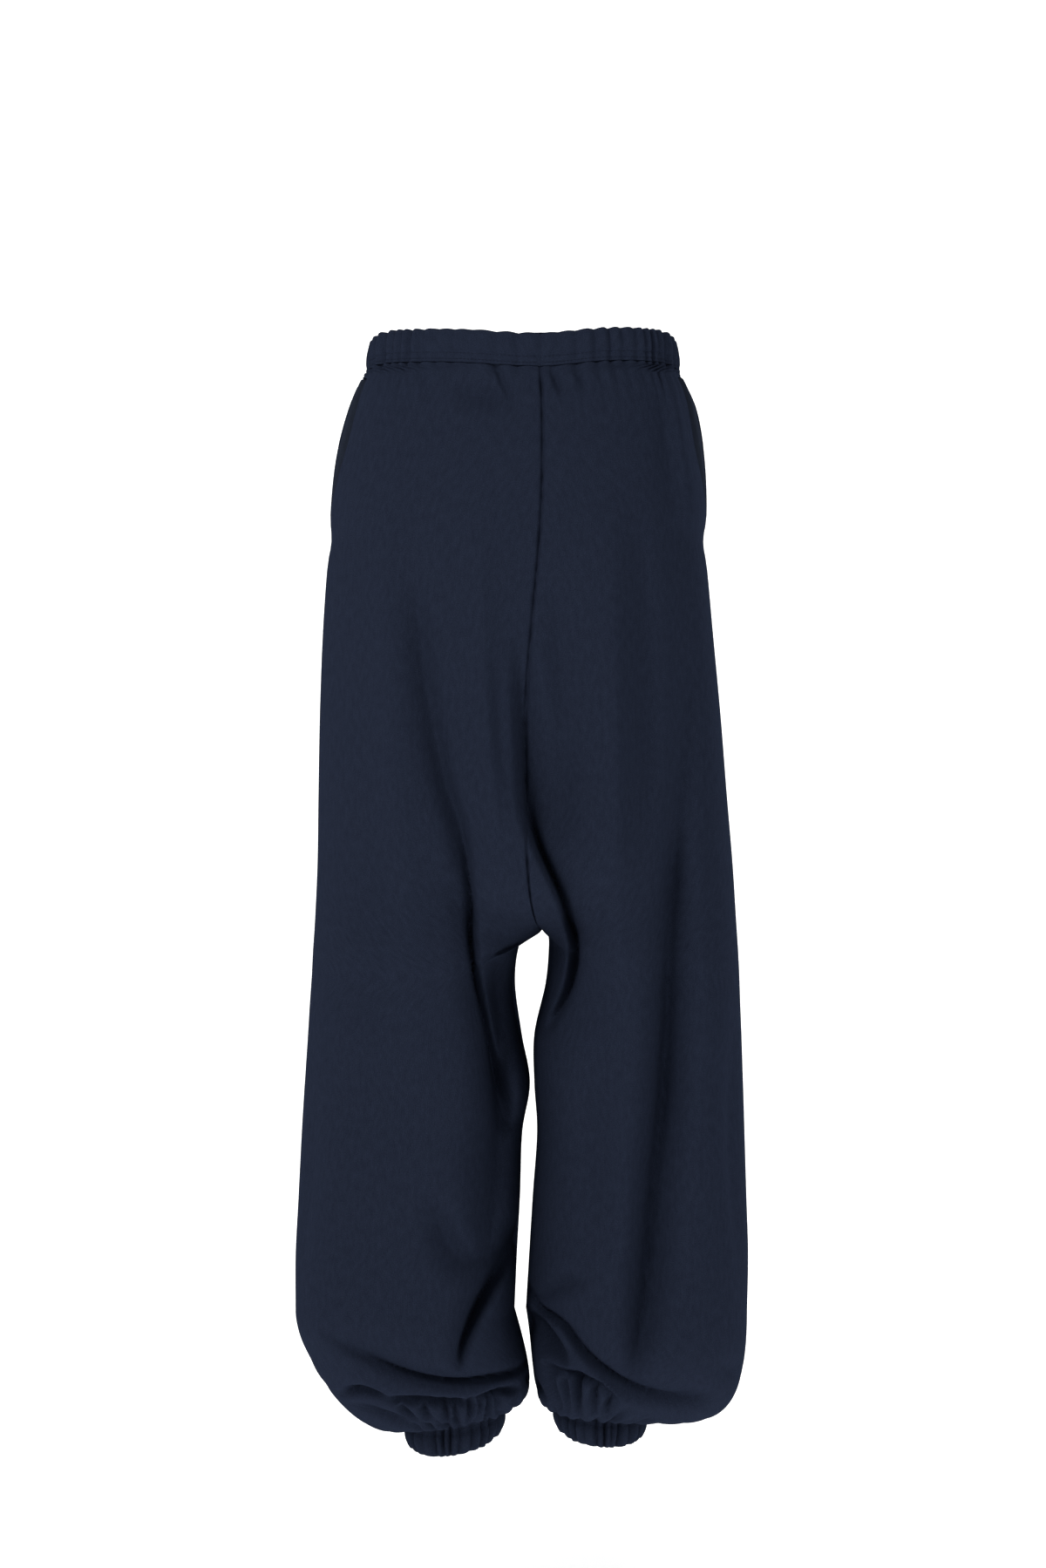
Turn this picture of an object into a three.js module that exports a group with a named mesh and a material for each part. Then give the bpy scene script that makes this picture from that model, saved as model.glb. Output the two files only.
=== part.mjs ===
// Harem pants of navy sweatshirt cotton, in the hollow form that they have when worn.
// Millimetres, +Z up. The front faces -Y, and the wearer's left is +X.
// The origin is the middle of the waistband ring, where the wearer holds the garment up.
import * as THREE from 'three';

const cloth = {
  wall: 2,
  seamGap: 0.3,
  color: 0x22293a,
  roughness: 0.95,
};

const waistband = {
  halfHeight: 13,
  wall: 3.6,
  bulge: 1.1,
  gathersPerHalf: 28,
  gatherDepth: 0.9,
  halfWidthTop: 137.5,
  halfWidthBottom: 141,
  back: 98,
  front: 95,
  backSeam: -15,
};

const cuff = {
  height: 27,
  wall: 3,
  bulge: 1,
  gathers: 26,
  gatherDepth: 1.1,
  clearance: 1.4,
  taper: 6,
};

const pocket = {
  top: -20,
  bottom: -166,
  backPull: 0.036,
  frontPull: 0.008,
  lip: 2.5,
  reach: 0.075,
  inset: 3.2,
};

const grid = {
  backColumns: 16,
  frontColumns: 12,
  balloonRows: 10,
  pocketColumns: 6,
  columnsPerGather: 3,
};

const sides = { left: 1, right: -1 };

// Fullness of a cross section: 2 is an ellipse, and more is squarer.
const fullness = 2.3;

// Sections from the waist to the widest part of the balloon, one row each.
// level: height at the outseam. seamLevel: height at the rise seam, and below the crotch at the inseam.
// closure: 0 is half of one torso ring, and 1 is a closed leg ring.
// back, front: depth behind and before the middle. outer, seam: distance across, to +X.
const sectionColumns = ['level', 'seamLevel', 'closure', 'back', 'front', 'outerLeft', 'outerRight',
  'seamLeft', 'seamRight'];
const sections = table(sectionColumns, [
  [-13.3, -13.3, 0, 98.5, 95.5, 143, -141, -15, -15],
  [-45, -45, 0, 108, 101, 154.5, -153.5, -16.5, -16.5],
  [-92, -92, 0, 121, 107, 166, -161, -17, -17],
  [-140, -140, 0, 130, 112, 172, -164, -16, -16],
  [-165, -165, 0, 133.5, 114, 171.2, -161, -14.5, -14.5],
  [-190, -190, 0, 135, 116, 175, -164.5, -12.5, -12.5],
  [-250, -250, 0.01, 134, 119, 179, -170, -7, -7],
  [-320, -318, 0.05, 130, 121, 181.5, -176.5, -2.5, -2.5],
  [-390, -378, 0.14, 127, 122, 182.7, -182, -2, -2],
  [-450, -432, 0.33, 125, 122, 183.5, -187, -3, -3],
  [-498, -476, 0.58, 123, 122, 185.5, -190, -6, -6],
  [-530, -500, 0.82, 122, 122, 187.5, -192, -11, -11],
  [-550, -511, 1, 121, 121, 188.5, -193, -17, -17],
  [-565, -515, 1, 120, 121, 189.5, -193.5, -4, -22],
  [-580, -528, 1, 120, 121, 190.5, -194, 4, -23],
  [-605, -560, 1, 119, 120, 192, -195, 7, -20],
  [-635, -605, 1, 117, 119, 194, -196, 1, -10],
  [-665, -648, 1, 116, 119, 196, -197, -6.3, -10],
  [-700, -692, 1, 115, 118, 198, -198, 0.5, -12.5],
  [-750, -748, 1, 114, 117, 200.5, -199.5, 2.5, -8.7],
  [-800, -800, 1, 114, 116, 203, -201, 5.3, -5.5],
  [-850, -850, 1, 116, 117, 203, -200, 7.5, -2.5],
]);
const crotchRow = 12;
const balloonTop = sections.length - 1;

// The ring where each leg is gathered into its cuff, with its lean backward and outward.
const ankles = {
  left: { x: 61, y: 0, z: -939, radiusX: 46, radiusY: 45, backDrop: 9, outerDrop: 6 },
  right: { x: -69, y: 0, z: -933, radiusX: 43, radiusY: 43, backDrop: 8, outerDrop: 3 },
};

// How the cloth hangs over each cuff: inside, behind, outside and in front of the leg.
// It leaves the widest ring by bulge and drop, and comes back to the cuff from reach and sag.
const balloonColumns = ['bulge', 'drop', 'reach', 'sag'];
const balloons = {
  left: table(balloonColumns, [
    [18, 62, 28, 3],
    [3, 50, 32, 20],
    [0, 42, 30, 40],
    [2, 50, 36, 22],
  ]),
  right: table(balloonColumns, [
    [-8, 45, 19, 18],
    [2, 50, 38, 24],
    [0, 90, 66, 26],
    [2, 55, 40, 25],
  ]),
};

// Folds: a path across and up on the back or the front, its half width, and its height outward.
// A height below 0 is a trough.
const folds = [
  { face: 'back', width: 20, height: -5, path: [[108, -199], [90, -333], [56, -433], [44, -500]] },
  { face: 'back', width: 14, height: -9, path: [[47, -480], [42, -525], [36, -565], [18, -612]] },
  { face: 'back', width: 16, height: -9, path: [[-10, -440], [-31, -472], [-45, -505], [-42, -540], [-22, -590]] },
  { face: 'back', width: 20, height: 3, path: [[-139, -275], [-130, -403], [-119, -502], [-127, -609], [-108, -722], [-97, -860]] },
  { face: 'back', width: 15, height: -4, path: [[-152, -330], [-150, -460], [-146, -600], [-140, -690]] },
  { face: 'back', width: 17, height: -7, path: [[4, -786], [24, -828], [44, -868], [56, -890]] },
  { face: 'back', width: 12, height: -8, path: [[170, -872], [128, -884], [98, -895], [60, -900], [20, -898], [0, -898]] },
  { face: 'back', width: 9, height: -6, path: [[112, -923], [80, -921], [50, -927], [12, -920]] },
  { face: 'back', width: 12, height: -9, path: [[-4, -832], [-36, -852], [-59, -880], [-85, -900], [-116, -918]] },
  { face: 'back', width: 9, height: -7, path: [[-12, -889], [-45, -896], [-67, -903], [-82, -920]] },
  { face: 'front', width: 20, height: -5, path: [[102, -230], [84, -350], [58, -440], [46, -505]] },
  { face: 'front', width: 15, height: -8, path: [[44, -470], [48, -520], [36, -570], [14, -615]] },
  { face: 'front', width: 20, height: -5, path: [[-106, -215], [-86, -340], [-62, -430], [-50, -490]] },
  { face: 'front', width: 15, height: -8, path: [[-46, -465], [-54, -515], [-44, -565], [-24, -600]] },
  { face: 'front', width: 18, height: 4, path: [[118, -300], [124, -480], [112, -650], [106, -800]] },
  { face: 'front', width: 18, height: 4, path: [[-122, -320], [-116, -500], [-124, -640], [-104, -820]] },
  { face: 'front', width: 12, height: -8, path: [[166, -880], [120, -872], [74, -888], [30, -884], [6, -868]] },
  { face: 'front', width: 12, height: -8, path: [[-164, -892], [-124, -878], [-80, -890], [-36, -872], [-8, -856]] },
];

// Height of the waistband ring above its mean, from the centre back round the side to the centre front.
const waistLift = [-2, 2, 4.5, 5, -1.5, 3, 4, 3, -2];

function table(columns, rows) {
  return rows.map((row) => Object.fromEntries(columns.map((name, index) => [name, row[index]])));
}

function clamp(value, low, high) {
  return Math.min(high, Math.max(low, value));
}

function smooth(value) {
  const part = clamp(value, 0, 1);
  return part * part * (3 - 2 * part);
}

// Catmull-Rom value between entries of a list.
function between(list, place) {
  const last = list.length - 1;
  const start = clamp(Math.floor(place), 0, last - 1);
  const part = place - start;
  const a = list[Math.max(start - 1, 0)];
  const b = list[start];
  const c = list[start + 1];
  const d = list[Math.min(start + 2, last)];
  const slopeStart = (c - a) / 2;
  const slopeEnd = (d - b) / 2;
  const curve = (2 * b - 2 * c + slopeStart + slopeEnd) * part - 3 * b + 3 * c - 2 * slopeStart - slopeEnd;
  return b + part * (slopeStart + part * curve);
}

const sectionLists = Object.fromEntries(sectionColumns.map((name) => [name, sections.map((row) => row[name])]));

function sectionAt(row) {
  return Object.fromEntries(sectionColumns.map((name) => [name, between(sectionLists[name], row)]));
}

function power(value) {
  return Math.sign(value) * Math.abs(value) ** (2 / fullness);
}

// Ring lift of the waist at a place around, fading out below the band.
function liftAt(around, level) {
  const fade = 1 - smooth((-level - 15) / 60);
  return between(waistLift, around * (waistLift.length - 1)) * fade;
}

// Distance from a point to a fold's path, and the place along it from 0 to 1.
function alongPath(path, x, z) {
  let nearest = Infinity;
  let reached = 0;
  let length = 0;
  for (let index = 1; index < path.length; index += 1) {
    const [ax, az] = path[index - 1];
    const [bx, bz] = path[index];
    const span = Math.hypot(bx - ax, bz - az);
    const part = clamp(((x - ax) * (bx - ax) + (z - az) * (bz - az)) / span ** 2, 0, 1);
    const distance = Math.hypot(x - ax - part * (bx - ax), z - az - part * (bz - az));
    if (distance < nearest) {
      nearest = distance;
      reached = length + part * span;
    }
    length += span;
  }
  return { distance: nearest, place: reached / length };
}

function foldHeight(face, x, z) {
  let height = 0;
  for (const fold of folds) {
    if (fold.face === face) {
      const { distance, place } = alongPath(fold.path, x, z);
      const taper = smooth(place / 0.3) * smooth((1 - place) / 0.3);
      height += fold.height * taper * Math.exp(-((distance / fold.width) ** 2));
    }
  }
  return height;
}

// Keeps the depth even where the torso ring turns into two leg rings.
function splitFill(closure) {
  return 1 + 0.5 * clamp(closure, 0, 1) ** 0.7 * (1 - clamp(closure, 0, 1)) ** 1.4;
}

// Outer surface without folds, above the balloon. Around goes from the back seam over the outseam
// to the front seam.
function bodyPoint(side, around, row) {
  const section = sectionAt(row);
  const outer = side === 'left' ? section.outerLeft : section.outerRight;
  const seam = side === 'left' ? section.seamLeft : section.seamRight;
  const torsoAngle = Math.PI * (0.5 - around);
  const legAngle = Math.PI * (1 - 2 * around);
  const depth = (around < 0.5 ? section.back : section.front) * splitFill(section.closure);
  const torsoAcross = power(Math.cos(torsoAngle));
  const torsoX = seam + (outer - seam) * torsoAcross;
  const torsoY = depth * power(Math.sin(torsoAngle));
  const legX = (outer + seam) / 2 + ((outer - seam) / 2) * power(Math.cos(legAngle));
  const legY = depth * power(Math.sin(legAngle));
  const inner = 1 - smooth(Math.min(around, 1 - around) / 0.2);
  const x = torsoX + (legX - torsoX) * section.closure;
  const y = torsoY + (legY - torsoY) * section.closure;
  const z = section.level + (section.seamLevel - section.level) * inner + liftAt(around, section.level);
  return new THREE.Vector3(x, y, z);
}

function anklePoint(side, around) {
  const ankle = ankles[side];
  const angle = Math.PI * (1 - 2 * around);
  return new THREE.Vector3(
    ankle.x + sides[side] * ankle.radiusX * Math.cos(angle),
    ankle.y + ankle.radiusY * Math.sin(angle),
    ankle.z - ankle.backDrop * Math.sin(angle) - ankle.outerDrop * Math.cos(angle),
  );
}

// Value of a balloon column at a place around, eased between its four directions.
function balloonValue(side, name, around) {
  const rows = balloons[side];
  const place = around * rows.length;
  const start = Math.floor(place);
  const from = rows[start % rows.length][name];
  const to = rows[(start + 1) % rows.length][name];
  return from + (to - from) * smooth(place - start);
}

function balloonPoint(side, around, part) {
  const angle = Math.PI * (1 - 2 * around);
  const outward = new THREE.Vector3(sides[side] * Math.cos(angle), Math.sin(angle), 0);
  const start = bodyPoint(side, around, balloonTop);
  const end = anklePoint(side, around);
  const leave = start.clone().addScaledVector(outward, balloonValue(side, 'bulge', around));
  leave.z -= balloonValue(side, 'drop', around);
  const arrive = end.clone().addScaledVector(outward, balloonValue(side, 'reach', around));
  arrive.z -= balloonValue(side, 'sag', around);
  return new THREE.CubicBezierCurve3(start, leave, arrive, end).getPoint(part);
}

function plainPoint(side, around, row) {
  const turn = row > crotchRow ? (around + 1) % 1 : clamp(around, 0, 1);
  return row <= balloonTop ? bodyPoint(side, turn, row) : balloonPoint(side, turn, row - balloonTop);
}

// Outward direction of the plain surface. At the rise seam it lies in the middle plane.
function outwardAt(side, around, row) {
  const step = 0.004;
  const onSeam = around <= 0 || around >= 1;
  if (onSeam && Math.abs(row - crotchRow) < step) {
    return new THREE.Vector3(0, 0, -1);
  }
  const rowStep = 0.02;
  const before = plainPoint(side, around, Math.max(row - rowStep, 0));
  const after = plainPoint(side, around, Math.min(row + rowStep, balloonTop + 1));
  const down = after.sub(before);
  let along = new THREE.Vector3(1, 0, 0);
  let turnsOut = around <= 0 ? 1 : -1;
  if (!onSeam || row > crotchRow) {
    along = plainPoint(side, around + step, row).sub(plainPoint(side, around - step, row));
    turnsOut = sides[side];
  } else {
    down.x = 0;
  }
  return along.cross(down).multiplyScalar(turnsOut).normalize();
}

function outerPoint(side, around, row) {
  const point = plainPoint(side, around, row);
  const face = around < 0.5 ? 'back' : 'front';
  const edge = smooth(Math.abs(around - 0.5) / 0.08);
  const end = smooth((balloonTop + 1 - row) / 0.25);
  const height = foldHeight(face, point.x, point.z) * edge * end;
  return point.addScaledVector(outwardAt(side, around, row), height);
}

// Openness of the pocket at a row: 0 outside it and 1 at its middle.
function pocketOpenness(row) {
  const level = between(sectionLists.level, Math.min(row, balloonTop));
  const place = (pocket.top - level) / (pocket.top - pocket.bottom);
  return place <= 0 || place >= 1 ? 0 : Math.sin(Math.PI * place) ** 0.7;
}

// Closed solid from an outer and an inner grid of points. A ring joins its last column to its first.
function wallSolid(name, outer, inner, ring, flip) {
  const rows = outer.length;
  const columns = outer[0].length;
  const positions = [...outer.flat(), ...inner.flat()].flatMap((point) => [point.x, point.y, point.z]);
  const indices = [];
  const at = (layer, row, column) => layer * rows * columns + row * columns + (column % columns);
  const quad = (a, b, c, d) => {
    indices.push(...(flip ? [a, b, c, a, c, d] : [a, c, b, a, d, c]));
  };
  const lastColumn = ring ? columns : columns - 1;
  for (let column = 0; column < lastColumn; column += 1) {
    for (let row = 0; row < rows - 1; row += 1) {
      quad(at(0, row, column), at(0, row + 1, column), at(0, row + 1, column + 1), at(0, row, column + 1));
      quad(at(1, row, column), at(1, row, column + 1), at(1, row + 1, column + 1), at(1, row + 1, column));
    }
    quad(at(0, 0, column), at(0, 0, column + 1), at(1, 0, column + 1), at(1, 0, column));
    const end = rows - 1;
    quad(at(0, end, column), at(1, end, column), at(1, end, column + 1), at(0, end, column + 1));
  }
  if (!ring) {
    const side = columns - 1;
    for (let row = 0; row < rows - 1; row += 1) {
      quad(at(0, row, 0), at(1, row, 0), at(1, row + 1, 0), at(0, row + 1, 0));
      quad(at(0, row, side), at(0, row + 1, side), at(1, row + 1, side), at(1, row, side));
    }
  }
  const geometry = new THREE.BufferGeometry();
  geometry.setAttribute('position', new THREE.Float32BufferAttribute(positions, 3));
  geometry.setIndex(indices);
  geometry.computeVertexNormals();
  const material = new THREE.MeshStandardMaterial({ color: cloth.color, roughness: cloth.roughness });
  const mesh = new THREE.Mesh(geometry, material);
  mesh.name = name;
  return mesh;
}

// Rows of a panel: one at each section, then the balloon rows down to the cuff.
function panelRows() {
  const rows = sections.map((section, index) => index);
  for (let index = 1; index <= grid.balloonRows; index += 1) {
    rows.push(balloonTop + index / grid.balloonRows);
  }
  return rows;
}

function panel(side, face) {
  const isBack = face === 'back';
  const columns = isBack ? grid.backColumns : grid.frontColumns;
  const outer = [];
  const inner = [];
  for (const row of panelRows()) {
    const open = pocketOpenness(row);
    const outerLine = [];
    const innerLine = [];
    for (let column = 0; column <= columns; column += 1) {
      const part = column / columns;
      const start = isBack ? 0 : 0.5 + pocket.frontPull * open;
      const end = isBack ? 0.5 - pocket.backPull * open : 1;
      const around = start + (end - start) * part;
      const point = outerPoint(side, around, row);
      const outward = outwardAt(side, around, row);
      const atSeam = isBack ? column === 0 : column === columns;
      const atOutseam = isBack ? column === columns : column === 0;
      const toMiddle = isBack ? 1 : -1;
      if (atSeam && row <= crotchRow) {
        point.x += (sides[side] * cloth.seamGap) / 2;
      }
      if ((atSeam && row >= crotchRow) || atOutseam) {
        point.y += (toMiddle * cloth.seamGap) / 2;
      }
      if (!isBack) {
        point.addScaledVector(outward, pocket.lip * open * (1 - smooth(part / 0.25)));
      }
      outerLine.push(point);
      innerLine.push(point.clone().addScaledVector(outward, -cloth.wall));
    }
    outer.push(outerLine);
    inner.push(innerLine);
  }
  return wallSolid(`${face}_${side}`, outer, inner, false, side === 'right');
}

// Point on the waistband's outer face, from the bottom (0) to the top (1).
function bandPoint(side, around, up, out) {
  const angle = Math.PI * (0.5 - around);
  const depth = (around < 0.5 ? waistband.back : waistband.front) + out;
  const across = power(Math.cos(angle));
  const halfWidth = waistband.halfWidthBottom + (waistband.halfWidthTop - waistband.halfWidthBottom) * up;
  const outer = sides[side] * (halfWidth + out);
  return new THREE.Vector3(
    waistband.backSeam + (outer - waistband.backSeam) * across,
    depth * power(Math.sin(angle)),
    waistband.halfHeight * (2 * up - 1) + liftAt(around, 0),
  );
}

// Uneven ripple of the gathers: a crest at each gather, and a valley between.
function ripple(index, depth) {
  const uneven = 1 + 0.45 * Math.sin(index * 1.7) * Math.cos(index * 0.37);
  return depth * uneven * Math.cos((2 * Math.PI * index) / grid.columnsPerGather);
}

function waistbandHalf(side) {
  const columns = waistband.gathersPerHalf * grid.columnsPerGather;
  const outer = [[], [], []];
  const inner = [[], [], []];
  for (let column = 0; column <= columns; column += 1) {
    const atEnd = column === 0 || column === columns;
    const around = column / columns;
    const crest = atEnd ? 0 : ripple(column, waistband.gatherDepth);
    for (let level = 0; level < 3; level += 1) {
      const up = level / 2;
      const out = (level === 1 ? waistband.bulge : 0) + crest;
      const outerPlace = bandPoint(side, around, up, out);
      const innerPlace = bandPoint(side, around, up, crest - waistband.wall);
      if (atEnd) {
        outerPlace.x += (sides[side] * cloth.seamGap) / 2;
        innerPlace.x = outerPlace.x;
      }
      outer[2 - level].push(outerPlace);
      inner[2 - level].push(innerPlace);
    }
  }
  return wallSolid(`waistband_${side}`, outer, inner, false, side === 'right');
}

function cuffRing(side) {
  const columns = cuff.gathers * grid.columnsPerGather;
  const outer = [[], [], []];
  const inner = [[], [], []];
  for (let column = 0; column < columns; column += 1) {
    const around = column / columns;
    const angle = Math.PI * (1 - 2 * around);
    const outward = new THREE.Vector3(sides[side] * Math.cos(angle), Math.sin(angle), 0);
    for (let level = 0; level < 3; level += 1) {
      const crest = ripple(column, cuff.gatherDepth) - cuff.clearance - (cuff.taper * level) / 2;
      const place = anklePoint(side, around);
      place.z -= cloth.seamGap + (cuff.height * level) / 2;
      const out = (level === 1 ? cuff.bulge : 0) + crest;
      outer[level].push(place.clone().addScaledVector(outward, out));
      inner[level].push(place.clone().addScaledVector(outward, crest - cuff.wall));
    }
  }
  return wallSolid(`cuff_${side}`, outer, inner, true, side === 'right');
}

// The pocket layer lies inside the two panels and shows in the open side seam.
function pocketLayer(side) {
  const outer = [];
  const inner = [];
  const rows = [0.3, 0.7, 1.2, 1.7, 2.2, 2.7, 3.2, 3.7];
  for (const row of rows) {
    const outerLine = [];
    const innerLine = [];
    for (let column = 0; column <= grid.pocketColumns; column += 1) {
      const around = 0.5 + pocket.reach * ((2 * column) / grid.pocketColumns - 1);
      const outward = outwardAt(side, around, row);
      const point = plainPoint(side, around, row);
      outerLine.push(point.clone().addScaledVector(outward, -pocket.inset));
      innerLine.push(point.clone().addScaledVector(outward, -pocket.inset - cloth.wall));
    }
    outer.push(outerLine);
    inner.push(innerLine);
  }
  return wallSolid(`pocket_${side}`, outer, inner, false, side === 'right');
}

const haremPants = new THREE.Group();
for (const side of Object.keys(sides)) {
  haremPants.add(panel(side, 'back'));
  haremPants.add(panel(side, 'front'));
  haremPants.add(waistbandHalf(side));
  haremPants.add(cuffRing(side));
  haremPants.add(pocketLayer(side));
}

export default haremPants;
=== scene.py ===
# Harem pants of navy sweatshirt cotton, in worn form, seen from behind as in a studio photo.
# Lengths are in millimetres until a mesh is made. +Z is up, the front faces -Y, the wearer's left is +X.
import math

import bpy
import numpy as np
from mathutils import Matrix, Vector


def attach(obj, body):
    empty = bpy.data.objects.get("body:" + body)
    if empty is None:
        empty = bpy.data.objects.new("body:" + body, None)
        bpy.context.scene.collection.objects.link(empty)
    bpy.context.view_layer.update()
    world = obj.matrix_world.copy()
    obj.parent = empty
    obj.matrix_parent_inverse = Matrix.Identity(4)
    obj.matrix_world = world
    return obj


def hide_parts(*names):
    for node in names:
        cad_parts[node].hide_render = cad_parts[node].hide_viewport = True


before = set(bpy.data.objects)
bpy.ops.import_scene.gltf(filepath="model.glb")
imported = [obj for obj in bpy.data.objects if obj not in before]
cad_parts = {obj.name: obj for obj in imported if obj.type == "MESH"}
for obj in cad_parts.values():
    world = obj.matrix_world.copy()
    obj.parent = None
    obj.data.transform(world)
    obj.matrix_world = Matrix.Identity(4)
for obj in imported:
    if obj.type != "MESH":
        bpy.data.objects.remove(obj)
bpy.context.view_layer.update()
print("frame loaded:", len(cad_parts), "nodes")

mm = 0.001
sides = {"left": 1, "right": -1}

# The whole garment: the same sizes as the solids underneath
garment = {
    "wall": 1.9,
    "fullness": 2.3,      # 2 is an ellipse, more is squarer
    "crotchRow": 12,
    "closing": 1.3,       # more keeps the leg rings open longer above the crotch
    "lateClosing": 6.0,   # keeps the cloth flat across the crotch seam until near its end
    "lateReach": 0.16,    # how far from that seam, as a share of the way round
    "arch": 0.3,
    "swell": 0.5,         # how much deeper the rings are while they close
    "swellRise": 0.7,
    "swellFall": 1.4,
    "liftTop": 15,        # below this level the waist's uneven height fades out
    "liftFade": 60,
    "balloonRows": 66,
    "columns": 146,
    "crowding": 0.45,     # how much closer the columns stand toward the inner leg
    "panelWidth": 350,    # turns the steps beside a seam into shares of a row
    "smoothAngle": 50,
}

# level at the outseam, height at the rise seam or inseam, closure of the leg ring,
# depth behind and in front, outer left, outer right, seam left, seam right
sections = np.array([
    [-14.8, -14.8, 0, 98.5, 95.5, 143, -141, -15, -15],
    [-45, -45, 0, 108, 101, 154.5, -153.5, -16.5, -16.5],
    [-92, -92, 0, 121, 107, 166, -161, -17, -17],
    [-140, -140, 0, 130, 112, 172, -164, -16, -16],
    [-165, -165, 0, 133.5, 114, 171.2, -161, -14.5, -14.5],
    [-190, -190, 0, 135, 116, 175, -164.5, -12.5, -12.5],
    [-250, -250, 0.01, 134, 119, 179, -170, -7, -7],
    [-320, -318, 0.05, 130, 121, 181.5, -176.5, -2.5, -2.5],
    [-390, -378, 0.14, 127, 122, 182.7, -182, -2, -2],
    [-450, -432, 0.33, 125, 122, 183.5, -187, -3, -3],
    [-498, -476, 0.58, 123, 122, 185.5, -190, -6, -6],
    [-530, -500, 0.82, 122, 122, 187.5, -192, -11, -11],
    [-550, -511, 1, 121, 121, 188.5, -193, -17, -17],
    [-565, -515, 1, 120, 121, 189.5, -193.5, -4, -22],
    [-580, -528, 1, 120, 121, 190.5, -194, 4, -23],
    [-605, -560, 1, 119, 120, 192, -195, 7, -20],
    [-635, -605, 1, 117, 119, 194, -196, 1, -10],
    [-665, -648, 1, 116, 119, 196, -197, -6.3, -10],
    [-700, -692, 1, 115, 118, 198, -198, 0.5, -12.5],
    [-750, -748, 1, 114, 117, 200.5, -199.5, 2.5, -8.7],
    [-800, -800, 1, 114, 116, 203, -201, 5.3, -5.5],
    [-850, -850, 1, 116, 117, 203, -200, 7.5, -2.5],
])
balloonTop = len(sections) - 1

# from one section to another, the height of one row of the mesh: finest at the crotch
rowHeights = [(0, 1, 3.0), (1, 7, 8.0), (7, 10, 4.0), (10, 14, 1.6), (14, 17, 3.0), (17, 19, 4.0),
              (19, 21, 2.5)]

ankles = {
    "left": {"x": 61, "y": 0, "z": -939, "radiusX": 46, "radiusY": 45, "backDrop": 9, "outerDrop": 6},
    "right": {"x": -69, "y": 0, "z": -933, "radiusX": 43, "radiusY": 43, "backDrop": 8, "outerDrop": 3},
}

# bulge, drop, reach and sag inside, behind, outside and in front of each leg
balloons = {
    "left": np.array([[18, 62, 28, 3], [3, 50, 32, 8], [0, 42, 30, 40], [2, 50, 36, 22]], float),
    "right": np.array([[-8, 45, 19, 18], [2, 50, 38, 12], [0, 90, 66, 26], [2, 55, 40, 25]], float),
}

waistLift = {
    "left": np.array([-3.5, 0.5, 3, 3.5, -3, 1.5, 2.5, 1.5, -3.5]),
    "right": np.array([-3.5, 2, 4, 3.5, -3, 1.5, 2.5, 1.5, -3.5]),
}


def smooth(value):
    part = np.clip(value, 0, 1)
    return part * part * (3 - 2 * part)


def between(values, place):  # Catmull-Rom value between the entries of a list
    values = np.asarray(values, float)
    last = len(values) - 1
    start = np.clip(np.floor(place).astype(int), 0, last - 1)
    part = place - start
    a = values[np.maximum(start - 1, 0)]
    b = values[start]
    c = values[start + 1]
    d = values[np.minimum(start + 2, last)]
    slopeStart = (c - a) / 2
    slopeEnd = (d - b) / 2
    curve = (2 * b - 2 * c + slopeStart + slopeEnd) * part - 3 * b + 3 * c - 2 * slopeStart - slopeEnd
    return b + part * (slopeStart + part * curve)


def power(value):
    return np.sign(value) * np.abs(value) ** (2 / garment["fullness"])


def liftAt(side, around, level):  # the waist ring isn't level all round
    fade = 1 - smooth((-level - garment["liftTop"]) / garment["liftFade"])
    return between(waistLift[side], around * (len(waistLift[side]) - 1)) * fade


def bodyPoints(side, around, row):
    level, seamLevel, closure, back, front, outL, outR, seamL, seamR = (
        between(sections[:, index], row) for index in range(9))
    outer = outL if side == "left" else outR
    seam = seamL if side == "left" else seamR
    torsoAngle = np.pi * (0.5 - around)
    legAngle = np.pi * (1 - 2 * around)
    closed = np.clip(closure, 0, 1)
    nearSeam = 1 - smooth(np.minimum(around, 1 - around) / garment["lateReach"])
    closure = smooth(closed ** garment["closing"])
    lateClosure = smooth(closed ** (garment["closing"] + garment["lateClosing"] * nearSeam))
    fill = 1 + garment["swell"] * closed ** garment["swellRise"] * (1 - closed) ** garment["swellFall"]
    depth = np.where(around < 0.5, back, front) * fill
    torsoX = seam + (outer - seam) * power(np.cos(torsoAngle))
    torsoY = depth * power(np.sin(torsoAngle))
    legX = (outer + seam) / 2 + (outer - seam) / 2 * power(np.cos(legAngle))
    legY = depth * power(np.sin(legAngle))
    inner = 1 - smooth(np.minimum(around, 1 - around) / garment["arch"])
    x = torsoX + (legX - torsoX) * closure
    y = torsoY + (legY - torsoY) * lateClosure
    z = level + (seamLevel - level) * inner + liftAt(side, around, level)
    return np.stack([x, y, z], axis=-1)


def anklePoints(side, around):
    ankle = ankles[side]
    angle = np.pi * (1 - 2 * around)
    x = ankle["x"] + sides[side] * ankle["radiusX"] * np.cos(angle)
    y = ankle["y"] + ankle["radiusY"] * np.sin(angle)
    z = ankle["z"] - ankle["backDrop"] * np.sin(angle) - ankle["outerDrop"] * np.cos(angle)
    return np.stack([x, y, z], axis=-1)


def outwardFlat(side, around, turn=2):  # turn 2 is once round a leg, turn 1 is half round the waist
    angle = np.pi * (turn / 2 - turn * around)
    return np.stack([sides[side] * np.cos(angle), np.sin(angle), np.zeros_like(angle)], axis=-1)


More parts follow.
